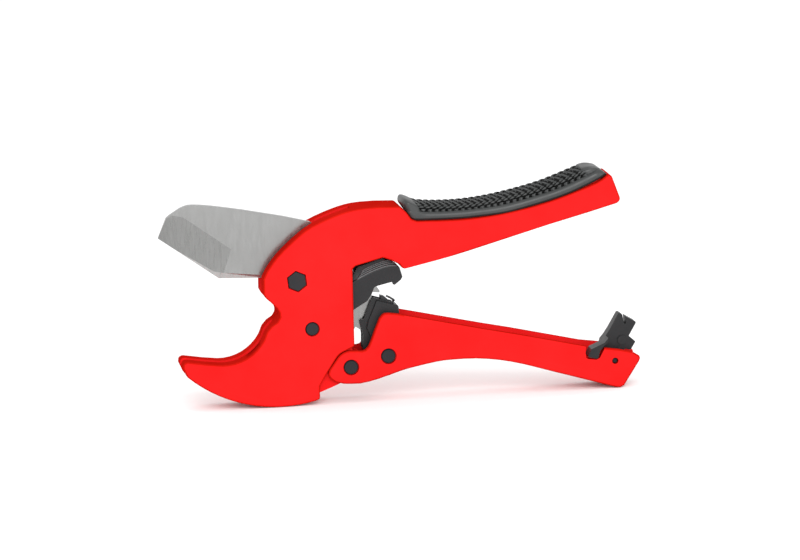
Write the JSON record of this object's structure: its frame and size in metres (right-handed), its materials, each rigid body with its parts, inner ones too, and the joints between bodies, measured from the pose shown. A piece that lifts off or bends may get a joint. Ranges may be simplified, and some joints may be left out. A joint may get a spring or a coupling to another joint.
{
  "type": "ratcheting plastic pipe cutter",
  "caption": "Ratcheting hand shears for plastic pipe: hooked red jaw with handle and rubber grip, pivoting steel blade, sprung lower handle with drive pawl, release lever and storage latch.",
  "frame": {"origin": "centre of the bounding box, at the lowest point of the hook and of the lower handle end", "axes": "+X from the blade tip towards the handle ends, +Y away from the side with the bolt and pin heads, +Z from the hook up to the rubber grip; Y=0 is the middle plane of the blade"},
  "size_m": [0.2292, 0.0214, 0.1079],
  "materials": {
    "red_enamel": "gloss red enamel over die-cast aluminium",
    "grip_rubber": "matt dark grey moulded rubber",
    "brushed_steel": "ground steel",
    "black_oxide": "black-oxide steel",
    "zinc_steel": "zinc-plated steel",
    "spring_steel": "dark spring steel",
    "dark_tool_steel": "dark hardened tool steel",
    "black_plastic": "satin black moulded plastic"
  },
  "bodies": {
    "body": {"body_casting": "red_enamel", "grip_pad": "grip_rubber", "blade_pivot_bolt": "black_oxide", "blade_pivot_nut": "black_oxide", "blade_pivot_bush": "zinc_steel", "blade_washer_front": "zinc_steel", "blade_washer_rear": "zinc_steel", "blade_return_spring": "spring_steel", "retaining_pawl_pin": "black_oxide", "retaining_pin_clip": "zinc_steel", "retaining_pawl_spring": "spring_steel", "handle_spring": "spring_steel"},
    "blade": {"blade": "brushed_steel"},
    "release": {"release_lever": "black_plastic", "retaining_pawl": "dark_tool_steel"},
    "lower_handle": {"lower_handle": "red_enamel", "handle_pivot_pin": "black_oxide", "handle_pivot_clip": "zinc_steel", "drive_pawl_pin": "black_oxide", "drive_pawl_clip": "zinc_steel", "latch_pin": "black_oxide", "drive_pawl_spring": "spring_steel", "latch_spring": "spring_steel"},
    "drive_pawl": {"drive_pawl": "dark_tool_steel", "pawl_cover": "black_plastic"},
    "latch": {"latch_lever": "black_plastic"}
  },
  "joints": [
    {"name": "blade_hinge", "type": "hinge", "parent": "body", "child": "blade", "pos_m": [-0.0501, 0, 0.06], "axis": [0, -1, 0], "range_deg": [0, 62], "stiffness_Nm_per_rad": 0.06, "springref_deg": -34.38, "deforming": ["blade_return_spring"]},
    {"name": "handle_hinge", "type": "hinge", "parent": "body", "child": "lower_handle", "pos_m": [-0.0253, 0, 0.0172], "axis": [0, -1, 0], "range_deg": [0, 24], "stiffness_Nm_per_rad": 0.25, "springref_deg": -28.65, "deforming": ["handle_spring"]},
    {"name": "drive_pawl_hinge", "type": "hinge", "parent": "lower_handle", "child": "drive_pawl", "pos_m": [-0.0072, 0, 0.0216], "axis": [0, 1, 0], "range_deg": [0, 34], "deforming": ["drive_pawl_spring"]},
    {"name": "release_lever_hinge", "type": "hinge", "parent": "body", "child": "release", "pos_m": [-0.0434, 0, 0.0367], "axis": [0, 1, 0], "range_deg": [0, 5], "stiffness_Nm_per_rad": 0.08, "springref_deg": -17.19, "deforming": ["retaining_pawl_spring"]},
    {"name": "latch_hinge", "type": "hinge", "parent": "lower_handle", "child": "latch", "pos_m": [0.1024, 0, 0.0131], "axis": [0, 1, 0], "range_deg": [0, 25], "stiffness_Nm_per_rad": 0.01, "springref_deg": -28.65, "deforming": ["latch_spring"]}
  ],
  "couplings": [
    {"joint": "drive_pawl_hinge", "follows": "handle_hinge", "ratio": 1.4}
  ]
}
